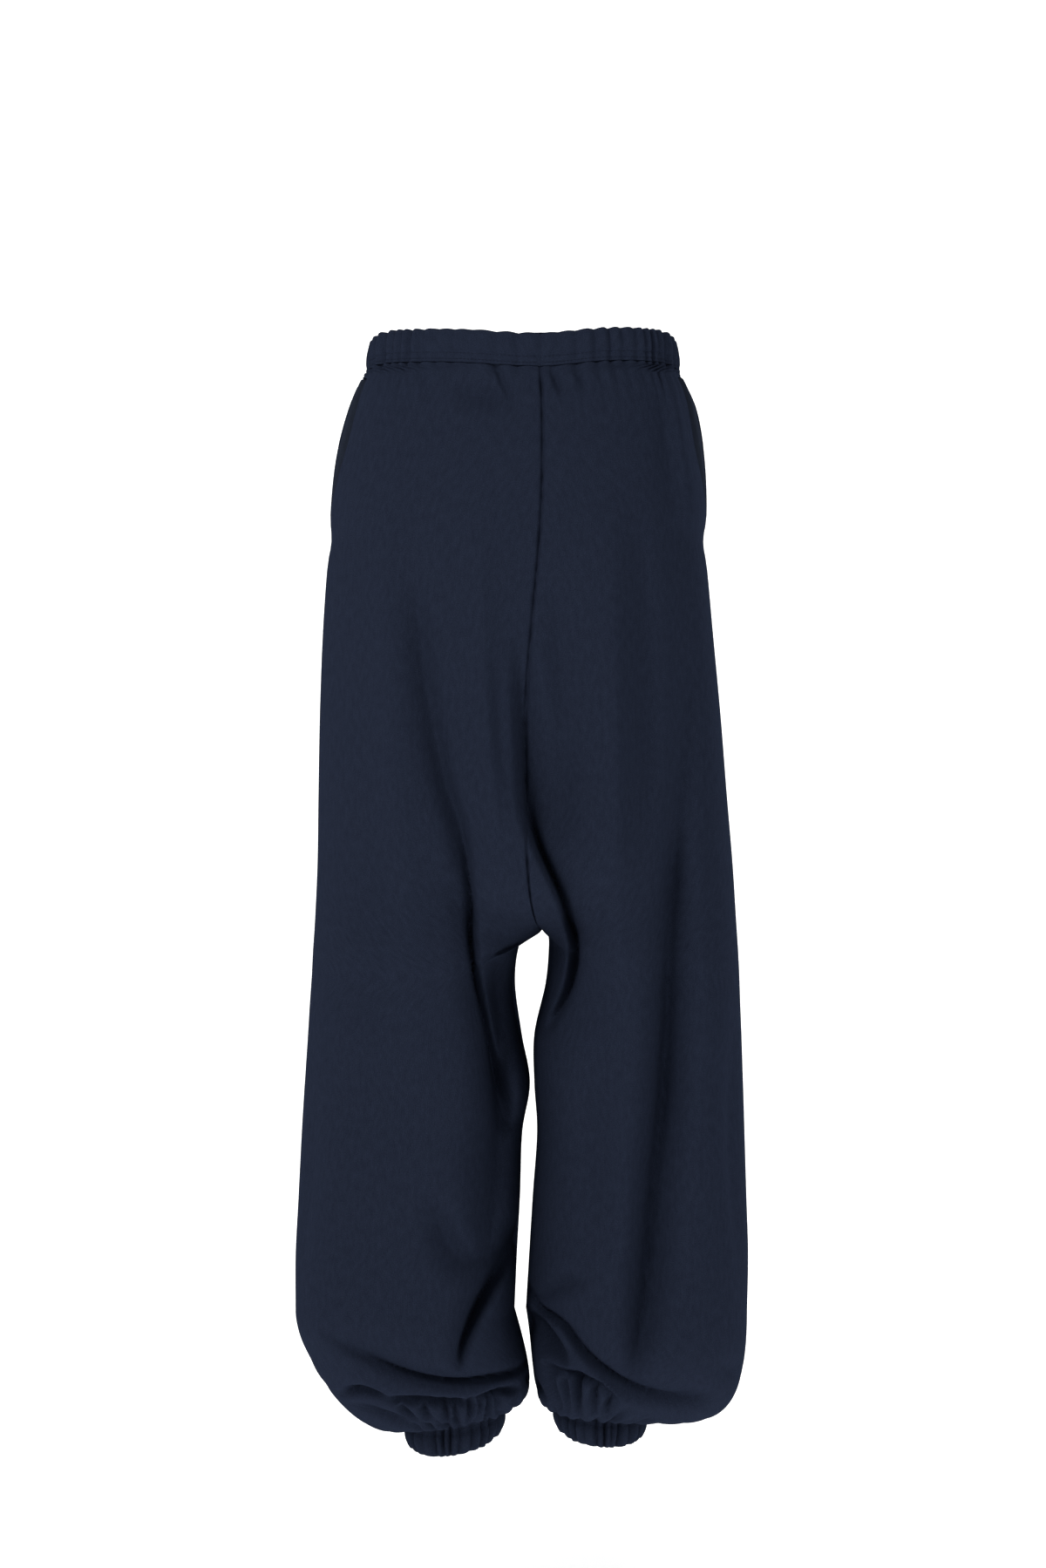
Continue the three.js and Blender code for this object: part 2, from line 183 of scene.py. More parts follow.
def balloonPoints(side, around, part):
    table = balloons[side]
    place = around * len(table)
    start = np.floor(place).astype(int)
    ease = smooth(place - start)[..., None]
    values = table[start % len(table)] * (1 - ease) + table[(start + 1) % len(table)] * ease
    outward = outwardFlat(side, around)
    down = np.array([0, 0, -1.0])
    begin = bodyPoints(side, around, np.full_like(around, balloonTop))
    end = anklePoints(side, around)
    leave = begin + outward * values[..., 0:1] + down * values[..., 1:2]
    arrive = end + outward * values[..., 2:3] + down * values[..., 3:4]
    t = part[..., None]
    return ((1 - t) ** 3 * begin + 3 * (1 - t) ** 2 * t * leave
            + 3 * (1 - t) * t ** 2 * arrive + t ** 3 * end)


def plainPoints(side, around, row):
    around, row = np.broadcast_arrays(np.asarray(around, float), np.asarray(row, float))
    turn = np.where(row > garment["crotchRow"], np.mod(around + 1, 1), np.clip(around, 0, 1))
    body = bodyPoints(side, turn, np.minimum(row, balloonTop))
    balloon = balloonPoints(side, turn, np.clip(row - balloonTop, 0, 1))
    return np.where((row <= balloonTop)[..., None], body, balloon)


def outwardOf(side, around, row):
    around, row = np.broadcast_arrays(np.asarray(around, float), np.asarray(row, float))
    step = 0.004
    rowStep = 0.02
    before = plainPoints(side, around, np.maximum(row - rowStep, 0))
    after = plainPoints(side, around, np.minimum(row + rowStep, balloonTop + 1))
    down = after - before
    along = plainPoints(side, around + step, row) - plainPoints(side, around - step, row)
    normal = np.cross(along, down) * sides[side]
    onRise = ((around <= 0) | (around >= 1)) & (row <= garment["crotchRow"])
    flatDown = down * np.array([0, 1, 1])
    riseNormal = np.cross(np.array([1.0, 0, 0]), flatDown) * np.where(around <= 0, 1, -1)[..., None]
    normal = np.where(onRise[..., None], riseNormal, normal)
    atCrotch = onRise & (np.abs(row - garment["crotchRow"]) < step)
    normal = np.where(atCrotch[..., None], np.array([0, 0, -1.0]), normal)
    return normal / np.linalg.norm(normal, axis=-1, keepdims=True)


# Creases, by the face they lie on: a row for each point of the path, with its place across and up,
# its depth, and the width on the path's + side and on its - side.
# Going down, the + side is toward the wearer's left. A small width is a sharp edge of the fold.
# On the outer sides of the legs, across is front to back.
backCreases = [
    # long fold from the seat into the left leg, its edge lapping over on the inner side
    [[94, -180, 0, 13, 13], [89, -246, 6, 13, 11], [80, -314, 8, 13, 10], [68, -374, 10, 13, 8],
     [52, -426, 12, 14, 6], [46, -486, 16, 15, 4], [43, -520, 19, 15, 3], [39.5, -548, 20, 15, 3],
     [29, -588, 19, 13, 3.5], [18, -633, 17, 12, 5], [11, -668, 12, 10, 6], [9, -692, 0, 8, 6]],
    # valley beside the seat seam that turns into the deep fold round the crotch on the right leg
    [[3, -245, 0, 8, 10], [2, -285, 6, 8, 12], [1, -322, 11, 7, 17], [-0.5, -352, 15, 6.5, 25],
     [-2.5, -381, 19, 6.2, 31], [-6, -408, 24, 5.5, 34], [-12.5, -430, 27, 4.6, 33],
     [-20.5, -449, 28, 3.8, 28], [-28, -465, 26, 3.4, 21], [-35.5, -483, 25, 3, 16],
     [-40.5, -502, 24, 3, 11], [-43.5, -520, 22, 3, 8], [-43, -539, 20, 3, 6], [-39, -558, 17, 3, 5],
     [-32, -575, 13, 3, 5], [-25, -588, 8, 3, 4], [-20, -600, 0, 4, 4]],
    [[-30, -190, 0, 14, 14], [-32, -260, 4, 14, 14], [-36, -330, 5, 13, 14], [-36, -385, 5, 12, 14],
     [-38, -430, 0, 10, 12]],
    [[23, -255, 0, 9, 9], [21, -310, 3, 9, 8], [17, -360, 3, 9, 8], [12, -405, 0, 9, 8]],
    [[38, -130, 0, 15, 14], [36, -220, -4, 15, 14], [32, -300, -5, 14, 13], [26, -380, -4, 13, 12],
     [20, -440, 0, 12, 12]],
    # arch of cloth over the left inner leg, and the shaded cloth below it
    [[-15, -513, 0, 4, 8], [-3, -517, 5, 4, 12], [10, -522, 8, 3.5, 12], [22, -528, 8, 3.5, 12],
     [30, -533, 5, 4, 10], [36, -540, 0, 5, 10]],
    [[20, -530, 0, 12, 12], [19, -556, 16, 14, 12], [15, -600, 20, 16, 12], [16, -660, 18, 19, 12],
     [20, -720, 15, 22, 12], [26, -772, 10, 20, 12], [30, -806, 0, 16, 12]],
    # left leg, from its inner side down to the cuff
    [[0, -762, 0, 9, 6], [7, -785, 14, 12, 6], [17, -808, 20, 14, 6], [27, -824, 23, 14, 5.5],
     [38, -840, 23, 12, 5], [47, -858, 19, 10, 4.6], [52, -874, 12, 8, 4.6], [53, -892, 0, 6, 5]],
    [[74, -730, 0, 12, 12], [70, -764, 8, 13, 12], [57, -790, 10, 13, 12], [38, -796, 8, 12, 10],
     [18, -782, 0, 10, 10]],
    [[118, -150, 0, 20, 16], [114, -260, -5, 20, 16], [108, -360, -6, 20, 18], [100, -470, -5, 20, 20],
     [96, -560, -3, 20, 20], [94, -660, 0, 18, 18]],
    [[180, -850, 0, 8, 14], [152, -870, 6, 6, 20], [126, -884, 10, 5, 20], [97, -896, 13, 4, 17],
     [70, -902, 13, 3.5, 13], [48, -903, 12, 3, 10], [21, -900, 10, 3, 8], [-2, -896, 2, 3, 6]],
    [[160, -890, 0, 8, 7], [130, -901, -2.5, 8, 6], [94, -909, -3, 6, 5], [50, -911, -2.5, 6, 5],
     [14, -909, 0, 6, 5]],
    [[163, -920, 0, 4, 4], [152, -913, 9, 4, 5], [139, -910, 11, 3.6, 6], [128, -912, 9, 3.6, 5],
     [118, -916, 0, 4, 4]],
    [[160, -926, 0, 5, 5], [140, -928, 4, 5, 5], [122, -934, 7, 4, 5], [108, -941, 5, 4, 4],
     [100, -946, 0, 4, 4]],
    [[124, -917, 0, 3, 5], [104, -918, 10, 3, 7], [86, -918, 12, 3, 7], [70, -921, 11, 3, 7],
     [54, -921, 9, 3, 6], [45, -926, 0, 3, 5]],
    [[44, -918, 0, 3, 5], [27, -916, 8, 3, 6], [11, -914, 7, 3, 5], [2, -911, 0, 3, 5]],
    [[70, -912, 0, 3, 2.5], [68, -924, 8, 3, 2.5], [66, -940, 6, 2.5, 2], [65, -948, 3, 2, 2]],
    [[44, -912, 0, 3, 2.5], [44, -924, 8, 3, 2.5], [46, -938, 6, 2.5, 2], [47, -946, 3, 2, 2]],
    [[27, -910, 0, 3, 2.5], [26, -922, 8, 3, 2.5], [29, -936, 6, 2.5, 2], [32, -944, 3, 2, 2]],
    [[58, -914, 0, 2.5, 2.5], [58, -928, 7, 2.5, 2.5], [57, -944, 4, 2, 2]],
    [[36, -912, 0, 2.5, 2.5], [35, -926, 6, 2.5, 2.5], [38, -942, 3, 2, 2]],
    [[19, -908, 0, 3, 2.5], [18, -918, 7, 3, 2.5], [21, -934, 3, 2, 2]],
    [[84, -914, 0, 3, 3], [86, -928, 6, 3, 3], [80, -944, 3, 2.5, 2.5]],
    [[110, -922, 0, 4, 4], [102, -932, 9, 4, 4], [94, -942, 5, 3.5, 3.5], [88, -948, 0, 3, 3]],
    # right leg: one long hollow down its far side, and softer ones beside it
    [[-118, -22, 0, 9, 9], [-125, -78, 3, 10, 9], [-130, -132, 3.5, 11, 9], [-137, -190, 3.5, 12, 9],
     [-142, -245, 4, 12, 10], [-144, -298, 5, 12, 11], [-141, -351, 7, 12, 12], [-136, -404, 9, 12, 13],
     [-132, -457, 16, 13, 14], [-130, -503, 19, 15, 17], [-128, -548, 22, 16, 18], [-126, -601, 24, 16, 18],
     [-123, -654, 24, 16, 18], [-117, -707, 22, 16, 18], [-112, -760, 21, 15, 18], [-108, -805, 20, 15, 18],
     [-102, -851, 16, 13, 16], [-97, -882, 7, 9, 9], [-95, -896, 0, 8, 8]],
    [[-100, -140, 0, 12, 12], [-104, -200, 3, 12, 12], [-106, -290, 4, 12, 12], [-106, -380, 3, 12, 12],
     [-104, -450, 0, 12, 12]],
    [[-78, -130, 0, 20, 15], [-78, -220, -5, 22, 15], [-79, -310, -8, 22, 15], [-80, -400, -8, 22, 16],
     [-80, -490, -6, 22, 18], [-78, -580, 0, 20, 18]],
    [[-60, -600, 0, 18, 18], [-56, -660, 4, 18, 18], [-60, -730, 4, 18, 18], [-66, -800, 0, 18, 18]],
    [[-6, -840, 0, 6, 6], [-22, -824, 6, 7, 6], [-40, -813, 5, 7, 6], [-60, -806, 0, 6, 6]],
    # right leg, over the cuff
    [[-2, -822, 0, 4, 8], [-11, -841, 15, 4, 9], [-23, -846, 16, 4, 9], [-36, -853, 13, 3.5, 11],
     [-46, -867, 13, 3.5, 14], [-57, -880, 13, 3.5, 16], [-72, -893, 13, 3.5, 17], [-88, -904, 12, 4, 18],
     [-106, -913, 10, 4.5, 18], [-126, -918, 8, 5, 18], [-148, -919, 6, 6, 16], [-170, -914, 0, 6, 14]],
    [[-2, -844, 0, 7, 8], [-11, -858, 20, 9, 9], [-20, -868, 22, 9, 8], [-29, -879, 14, 7, 7],
     [-36, -890, 0, 5, 6]],
    [[-50, -889, 0, 6, 6], [-68, -902, -2.5, 6, 6], [-90, -914, -2.5, 7, 7], [-114, -924, 0, 7, 7]],
    [[-14, -890, 0, 4, 4], [-28, -894, 7, 4, 5], [-45, -896, 8, 4, 5], [-66, -903, 7, 4, 5],
     [-79, -914, 5, 4, 4], [-82, -924, 0, 4, 4]],
    [[-19, -886, 0, 4, 4], [-21, -898, 10, 4, 4], [-24, -912, 9, 3.5, 3], [-31, -930, 3, 2.5, 2.5]],
    [[-46, -891, 0, 4, 4], [-45, -902, 11, 4, 4], [-46, -916, 9, 3.5, 3], [-48, -934, 3, 2.5, 2.5]],
    [[-33, -896, 0, 3, 3], [-34, -908, 8, 3, 3], [-38, -930, 3, 2.5, 2.5]],
    [[-64, -900, 0, 4, 3], [-62, -910, 7, 4, 3], [-62, -930, 3, 2.5, 2.5]],
    [[-78, -912, 0, 3, 3], [-74, -920, 6, 3, 3], [-72, -934, 2, 2.5, 2.5]],
    [[-6, -900, 0, 3, 3], [-9, -912, 6, 3, 3], [-20, -926, 0, 3, 3]],
    # a lit ridge along the right pocket's back edge
    [[-126, -8, 0, 5, 5], [-129, -26, -3, 6, 5], [-135, -60, -4, 7, 6], [-140, -95, -4, 8, 7],
     [-147, -126, -3, 8, 8], [-150, -158, 0, 8, 8]],
    # short folds just below the waistband
    [[25, -10, 1.5, 3, 3], [19, -28, 4, 5, 3], [13, -40, 3, 5, 3], [6, -54, 0, 5, 4]],
    [[64, -36, 0, 10, 11], [44, -42, 4.5, 10, 13], [24, -44, 5, 10, 13], [6, -46, 0, 9, 10]],
    [[-24, -16, 1.5, 3, 4], [-29, -33, 4, 3, 5], [-37, -48, 0, 3, 5]],
    [[-44, -14, 1, 3, 4], [-50, -30, 2.5, 3, 4], [-56, -42, 0, 3, 4]],
    [[92, -12, 1, 4, 4], [86, -30, 1.6, 4, 4], [80, -46, 0, 4, 4]],
]
frontCreases = [
    [[100, -215, 0, 16, 16], [84, -340, 4, 16, 12], [60, -430, 7, 14, 8], [46, -490, 10, 12, 5],
     [42, -530, 11, 10, 4], [36, -570, 9, 9, 4], [22, -622, 0, 8, 5]],
    [[-104, -215, 0, 16, 16], [-86, -345, 4, 12, 16], [-64, -430, 7, 8, 14], [-52, -490, 10, 5, 12],
     [-50, -530, 11, 4, 10], [-44, -570, 9, 4, 9], [-28, -616, 0, 5, 8]],
    [[118, -300, 0, 18, 18], [122, -480, -3, 18, 18], [112, -650, -3, 18, 18], [106, -800, 0, 18, 18]],
    [[-122, -320, 0, 18, 18], [-118, -480, -3, 18, 18], [-122, -640, -3, 18, 18], [-104, -810, 0, 18, 18]],
    [[60, -640, 0, 14, 14], [64, -720, 3, 14, 14], [58, -800, 3, 12, 12], [52, -852, 0, 12, 12]],
    [[-58, -650, 0, 14, 14], [-66, -730, 3.5, 14, 14], [-60, -810, 3, 12, 12], [-56, -850, 0, 12, 12]],
    [[168, -868, 0, 8, 12], [130, -880, 6, 5, 12], [92, -892, 9, 4, 9], [60, -896, 9, 3.5, 8],
     [30, -890, 8, 3.5, 7], [2, -878, 0, 4, 6]],
    [[-166, -874, 0, 12, 8], [-128, -884, 6, 12, 5], [-88, -892, 9, 9, 4], [-52, -888, 9, 8, 3.5],
     [-26, -872, 8, 7, 3.5], [-4, -854, 0, 6, 4]],
    [[120, -910, 0, 3, 5], [96, -910, 6, 3, 6], [70, -915, 6, 3, 6], [46, -922, 0, 3, 5]],
    [[-118, -905, 0, 5, 3], [-92, -908, 6, 6, 3], [-66, -908, 6, 6, 3], [-44, -902, 0, 5, 3]],
    [[82, -908, 0, 2.5, 2.5], [80, -922, 5, 2.5, 2.5], [76, -938, 2, 2, 2]],
    [[58, -910, 0, 2.5, 2.5], [58, -924, 5, 2.5, 2.5], [59, -940, 2, 2, 2]],
    [[-84, -904, 0, 2.5, 2.5], [-82, -916, 5, 2.5, 2.5], [-79, -930, 2, 2, 2]],
    [[-60, -902, 0, 2.5, 2.5], [-62, -916, 5, 2.5, 2.5], [-64, -930, 2, 2, 2]],
]
leftCreases = [
    [[70, -640, 0, 16, 16], [56, -740, 3.5, 14, 16], [50, -830, 0, 14, 14]],
    [[-52, -560, 0, 18, 18], [-60, -690, 3.5, 16, 16], [-54, -820, 0, 14, 14]],
    [[88, -868, 0, 6, 9], [50, -884, 3, 6, 10], [14, -892, 3, 6, 10], [-26, -888, 3, 6, 10],
     [-84, -872, 0, 6, 9]],
    [[52, -908, 0, 3, 4], [30, -914, 5, 3, 5], [8, -916, 0, 3, 4]],
]
rightCreases = [
    [[60, -560, 0, 18, 18], [66, -700, 3.5, 16, 16], [54, -840, 0, 14, 14]],
    [[-66, -600, 0, 16, 16], [-56, -740, 3.5, 14, 16], [-60, -850, 0, 14, 14]],
    [[90, -884, 0, 7, 10], [52, -898, 3, 7, 12], [8, -906, 3, 7, 12], [-34, -900, 3, 7, 12],
     [-86, -884, 0, 7, 10]],
    [[-8, -920, 0, 3, 4], [-30, -922, 5, 3, 5], [-50, -918, 0, 3, 4]],
]
creases = {"back": backCreases, "front": frontCreases, "left": leftCreases, "right": rightCreases}

# How a crease becomes cloth. A reach from a seam is a share of the way round a leg.
fold = {
    "samples": 12,        # points of the path between two rows
    "reach": 3.5,         # how many widths away the cloth still moves
    "profile": 1.7,       # 2 is a round trough, less is more pointed
    "sharpWidth": 3.5, "sharpFade": 3,   # a fold this narrow is sharp, one wider by the fade is soft
    "softGain": 1.7, "sharpGain": 0.65, "coreWidth": 3.3, "coreDepth": 0.85,
    "inseamReach": 0.018, "outseamReach": 0.09,
    "sideReach": 0.24, "sideFade": 0.14, "sideSeamReach": 0.1,
    "cuffReach": 0.08,    # a share of the way from the widest ring to the cuff
    "towardFace": 0.8,    # share of the depth that goes straight in through the face
    "towardFaceEnd": 0.5,
}


def creaseHeight(flat, rows):
    rows = np.asarray(rows, float)
    place = np.linspace(0, len(rows) - 1, fold["samples"] * (len(rows) - 1) + 1)
    across, up, depths, plus, minus = (between(rows[:, index], place) for index in range(5))
    path = np.stack([across, up], axis=-1)
    reach = fold["reach"] * max(plus.max(), minus.max())
    near = ((flat > path.min(axis=0) - reach) & (flat < path.max(axis=0) + reach)).all(axis=-1)
    height = np.zeros(len(flat))
    here = flat[near]
    if len(here) == 0:
        return height
    span = path[1:] - path[:-1]
    length = np.linalg.norm(span, axis=-1)
    offset = here[:, None] - path[None, :-1]
    part = np.clip((offset * span).sum(axis=-1) / length ** 2, 0, 1)
    distance = np.linalg.norm(offset - part[..., None] * span, axis=-1)
    nearest = distance.argmin(axis=1)
    pick = np.arange(len(here))
    turn = span[nearest, 0] * offset[pick, nearest, 1] - span[nearest, 1] * offset[pick, nearest, 0]
    at = nearest + part[pick, nearest]
    steps = np.arange(len(place))
    depth, widthPlus, widthMinus = (np.interp(at, steps, values) for values in (depths, plus, minus))
    width = np.where(turn > 0, widthPlus, widthMinus)
    steep = np.minimum(widthPlus, widthMinus)
    gap = distance[pick, nearest]
    trough = -depth * np.exp(-(gap / width) ** fold["profile"])
    # a sharp fold has a narrow core, where the cloth closes on itself
    sharp = 1 - smooth((steep - fold["sharpWidth"]) / fold["sharpFade"])
    core = -np.maximum(depth, 0) * np.exp(-(gap / fold["coreWidth"]) ** 2)
    gain = fold["softGain"] + (fold["sharpGain"] - fold["softGain"]) * sharp
    height[near] = trough * gain + core * sharp * fold["coreDepth"]
    return height


def foldHeight(side, around, row, points):
    shape = around.shape
    flatAround = around.ravel()
    flatRow = row.ravel()
    flatPoints = points.reshape(-1, 3)
    below = smooth(flatRow - (garment["crotchRow"] - 1))
    fromInseam = np.minimum(flatAround, 1 - flatAround)
    inseam = 1 - below * (1 - smooth(fromInseam / fold["inseamReach"]))
    fromOutseam = np.abs(flatAround - 0.5)
    facing = smooth(fromOutseam / fold["outseamReach"])
    sideways = smooth((fold["sideReach"] - fromOutseam) / fold["sideFade"])
    sideways *= smooth(fromOutseam / fold["sideSeamReach"])
    cuffEnd = smooth((balloonTop + 1 - flatRow) / fold["cuffReach"])
    height = np.zeros(len(flatAround))
    onSide = np.zeros(len(flatAround))
    for rows in creases[side]:
        onSide += creaseHeight(flatPoints[:, [1, 2]], rows) * sideways
    for face in ("back", "front"):
        chosen = (flatAround < 0.5) == (face == "back")
        for rows in creases[face]:
            height += np.where(chosen, creaseHeight(flatPoints[:, [0, 2]], rows), 0) * facing
    return (height * inseam * cuffEnd).reshape(shape), (onSide * inseam * cuffEnd).reshape(shape)


# Gathers: a narrow valley at each whole phase and a round crest between
gathers = {
    "waistPerHalf": 28, "waistDepth": 7.0, "waistCrispness": 0.8, "waistSeamReach": 0.012,
    "waistTop": 15, "waistFall": 18,   # how far down they run
    "waistMiddle": 0.6, "waistSideFrom": 0.35, "waistSideFade": 0.2,   # shallower at mid back
    "pocketReach": 0.12, "pocketFade": 0.1, "pocketLoss": 0.85, "pocketFall": 6,
    "cuff": 27, "cuffDepth": 8.4, "pleatDepth": 6.3,
    "pleatSwell": 9.0, "swellFade": 0.1,   # how much deeper the pleats are a little above the cuff
    "pleatReach": 0.46, "leastReach": 0.35,   # as a share of the way from the widest ring to the cuff
    "turnFrom": 0.7, "turnOver": 0.3,   # from here to the cuff the pleats' depth turns level
    "crispness": 0.65,   # less is a narrower valley between rounder crests
    "valleyShare": 0.6,   # the rest is an even wave
    "sway": [(0.32, 3.3, 1), (0.18, 7.1, 0)],   # size, turns and start of the uneven spacing
    "seed": 7, "weakest": 0.35, "strengths": 256,
}
# where each row of gathers starts in the list of uneven strengths, and its strides through it
gatherShift = {"waist": {"left": 11, "right": 83}, "cuff": {"left": 29, "right": 61}, "reach": 17}
gatherStride = {"strength": 7, "reach": 5}
unevenness = np.random.default_rng(gathers["seed"]).uniform(gathers["weakest"], 1.0, gathers["strengths"])


def gatherPhase(around, count):
    sway = sum(size * np.sin(2 * np.pi * turns * around + start) for size, turns, start in gathers["sway"])
    return count * around + sway * np.sin(np.pi * around) ** 0.5


def gatherValley(phase, shift, crispness):
    whole = np.floor(phase + 0.5).astype(int)
    strength = unevenness[(whole * gatherStride["strength"] + shift) % len(unevenness)]
    valley = 1 - np.abs(np.sin(np.pi * phase)) ** crispness
    wave = np.cos(np.pi * phase) ** 2
    return strength * (gathers["valleyShare"] * valley + (1 - gathers["valleyShare"]) * wave)


def waistRipple(side, around, level):
    below = np.maximum(-level - gathers["waistTop"], 0)
    fromOutseam = np.abs(around - 0.5)
    strength = np.exp(-below / gathers["waistFall"])
    strength *= smooth(np.minimum(around, 1 - around) / gathers["waistSeamReach"])
    # they end soon beside the pocket
    atPocket = 1 - smooth((fromOutseam - gathers["pocketReach"]) / gathers["pocketFade"])
    strength *= 1 - gathers["pocketLoss"] * atPocket * smooth(below / gathers["pocketFall"])
    towardSides = smooth((gathers["waistSideFrom"] - fromOutseam) / gathers["waistSideFade"])
    strength *= gathers["waistMiddle"] + (1 - gathers["waistMiddle"]) * towardSides
    phase = gatherPhase(around, gathers["waistPerHalf"])
    valley = gatherValley(phase, gatherShift["waist"][side], gathers["waistCrispness"])
    return -gathers["waistDepth"] * valley * strength


def cuffRipple(side, around):
    phase = gatherPhase(np.mod(around, 1), gathers["cuff"])
    return -gathers["cuffDepth"] * gatherValley(phase, gatherShift["cuff"][side], gathers["crispness"])


def cuffPleats(side, around, part):
    # The cuff's pleats run up into the loose cloth, some further than others
    phase = gatherPhase(np.mod(around, 1), gathers["cuff"])
    shift = gatherShift["cuff"][side]
    whole = np.floor(phase + 0.5).astype(int)
    pick = (whole * gatherStride["reach"] + shift + gatherShift["reach"]) % len(unevenness)
    reach = gathers["pleatReach"] * (gathers["leastReach"] + unevenness[pick])
    fade = smooth((part - 1 + reach) / reach)
    depth = gathers["pleatDepth"] + gathers["pleatSwell"] * smooth((1 - part) / gathers["swellFade"])
    return -depth * gatherValley(phase, shift, gathers["crispness"]) * fade


# Seams: the cloth dips into each seam line
seam = {
    "grooveWidth": 0.8, "grooveDepth": 3.4,
    "outseamShare": 0.8,  # the side seams are a little shallower
    "underBand": 0.5, "underBandWidth": 2.2,
    "edgeSteps": [0, 0.35, 0.7, 1.1, 1.7, 2.8, 4.4],
    "pucker": 0.3, "puckerLength": 3.1, "puckerWander": 2, "puckerDrift": 11,
}

pocket = {
    "top": -15.5, "bottom": -166,
    "backPull": {"left": 0.1, "right": 0.112},   # how far each edge lies from the outseam
    "frontPull": 0.008,
    "openOver": 0.055,    # it opens at once under the waistband
    "closeFrom": 0.35,    # and closes slowly toward its lower end
    "closeOver": 0.65,
    "closeShape": 0.8,
    "lip": 2.5, "lipWidth": 0.25, "lipShare": 0.6,
    "dip": 1.6, "dipWidth": 30,   # how far the back edge sinks under the front one
    "firstRow": 0.02, "lastRow": 3.9, "rows": 64, "columns": 64,
    "reachFront": 0.02, "reachBack": 0.17, "inset": 1.0,
    "bagFall": {"left": 6.0, "right": 3.2}, "bagFallOver": 0.14,
    "flat": (0.07, 0.15),
}


def rowPlaces():
    places = []
    levels = sections[:, 0]
    for first, last, height in rowHeights:
        for index in range(first, last):
            steps = max(2, round((levels[index] - levels[index + 1]) / height))
            places += list(index + np.arange(steps) / steps)
    places += list(balloonTop + np.arange(garment["balloonRows"] + 1) / garment["balloonRows"])
    return np.array(places)


def columnPlaces(isBack):
    # closer together toward the inner leg, where the sharp folds are
    edge = np.array(seam["edgeSteps"]) / garment["panelWidth"]
    even = np.linspace(0, 1, garment["columns"])
    warped = even + garment["crowding"] * (even ** 2 - even)
    middle = edge[-1] + (1 - 2 * edge[-1]) * warped[1:-1]
    places = np.concatenate([edge, middle, 1 - edge[::-1]])
    return places if isBack else 1 - places[::-1]


def pocketOpenness(row):
    level = between(sections[:, 0], np.minimum(row, balloonTop))
    place = (pocket["top"] - level) / (pocket["top"] - pocket["bottom"])
    inside = (place > 0) & (place < 1)
    opening = smooth(place / pocket["openOver"])
    closing = 1 - smooth((place - pocket["closeFrom"]) / pocket["closeOver"])
    return np.where(inside, opening * closing ** pocket["closeShape"], 0)


def deselectAll():
    for thing in bpy.context.selected_objects:
        thing.select_set(False)


def selectOnly(thing):
    deselectAll()
    thing.select_set(True)
    bpy.context.view_layer.objects.active = thing


def gridPiece(name, points):
    # A grid primitive takes the place of the cut cloth, and its points are then set on the form
    rows, columns = points.shape[:2]
    deselectAll()
    bpy.ops.mesh.primitive_grid_add(x_subdivisions=columns - 1, y_subdivisions=rows - 1, size=1)
    piece = bpy.context.object
    piece.name = name
    piece.data.name = name
    mesh = piece.data
    flat = np.zeros(len(mesh.vertices) * 3)
    mesh.vertices.foreach_get("co", flat)
    flat = flat.reshape(-1, 3)
    column = np.rint((flat[:, 0] + 0.5) * (columns - 1)).astype(int)
    row = rows - 1 - np.rint((flat[:, 1] + 0.5) * (rows - 1)).astype(int)
    mesh.vertices.foreach_set("co", (points[row, column] * mm).ravel())
    # The map is in metres on the cloth, so that the knit keeps its real size
    across = np.linalg.norm(np.diff(points, axis=1), axis=-1)
    across = np.concatenate([np.zeros((rows, 1)), np.cumsum(across, axis=1)], axis=1)
    across = across - across[:, columns // 2:columns // 2 + 1]
    down = np.linalg.norm(np.diff(points[:, columns // 2], axis=0), axis=-1)
    down = np.concatenate([[0], np.cumsum(down)])
    loops = np.zeros(len(mesh.loops), int)
    mesh.loops.foreach_get("vertex_index", loops)
    uv = np.stack([across[row, column][loops], -down[row][loops]], axis=-1) * mm
    mesh.uv_layers[0].data.foreach_set("uv", uv.ravel())
    mesh.update()
    return piece


def editAll(piece, change, **values):
    selectOnly(piece)
    bpy.ops.object.mode_set(mode="EDIT")
    bpy.ops.mesh.select_all(action="SELECT")
    change(**values)
    bpy.ops.object.mode_set(mode="OBJECT")


def faceAway(piece, points):
    # Turns the faces round where the grid's order leaves them looking at the piece's middle
    centre = Vector(points.reshape(-1, 3).mean(axis=0) * mm)
    total = 0.0
    for polygon in piece.data.polygons:
        total += polygon.normal.dot(polygon.center - centre) * polygon.area
    if total < 0:
        editAll(piece, bpy.ops.mesh.flip_normals)


def faceToward(piece, point, outward):
    # Turns the faces round where the one nearest to a point looks the wrong way
    place = Vector(point * mm)
    nearest = min(piece.data.polygons, key=lambda polygon: (polygon.center - place).length)
    if nearest.normal.dot(Vector(outward)) < 0:
        editAll(piece, bpy.ops.mesh.flip_normals)


def thicken(piece, thickness):
    selectOnly(piece)
    wall = piece.modifiers.new("wall", "SOLIDIFY")
    wall.thickness = thickness * mm
    wall.offset = -1
    wall.use_even_offset = False
    bpy.ops.object.modifier_apply(modifier=wall.name)
    bpy.ops.object.shade_smooth_by_angle(angle=math.radians(garment["smoothAngle"]))


def finishPiece(piece, material, node):
    piece.data.materials.clear()
    piece.data.materials.append(material)
    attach(piece, "root")
    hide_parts(node)


# Materials
def linear(hexColour):
    values = [int(hexColour[index:index + 2], 16) / 255 for index in (1, 3, 5)]
    return tuple(v / 12.92 if v <= 0.04045 else ((v + 0.055) / 1.055) ** 2.4 for v in values) + (1.0,)


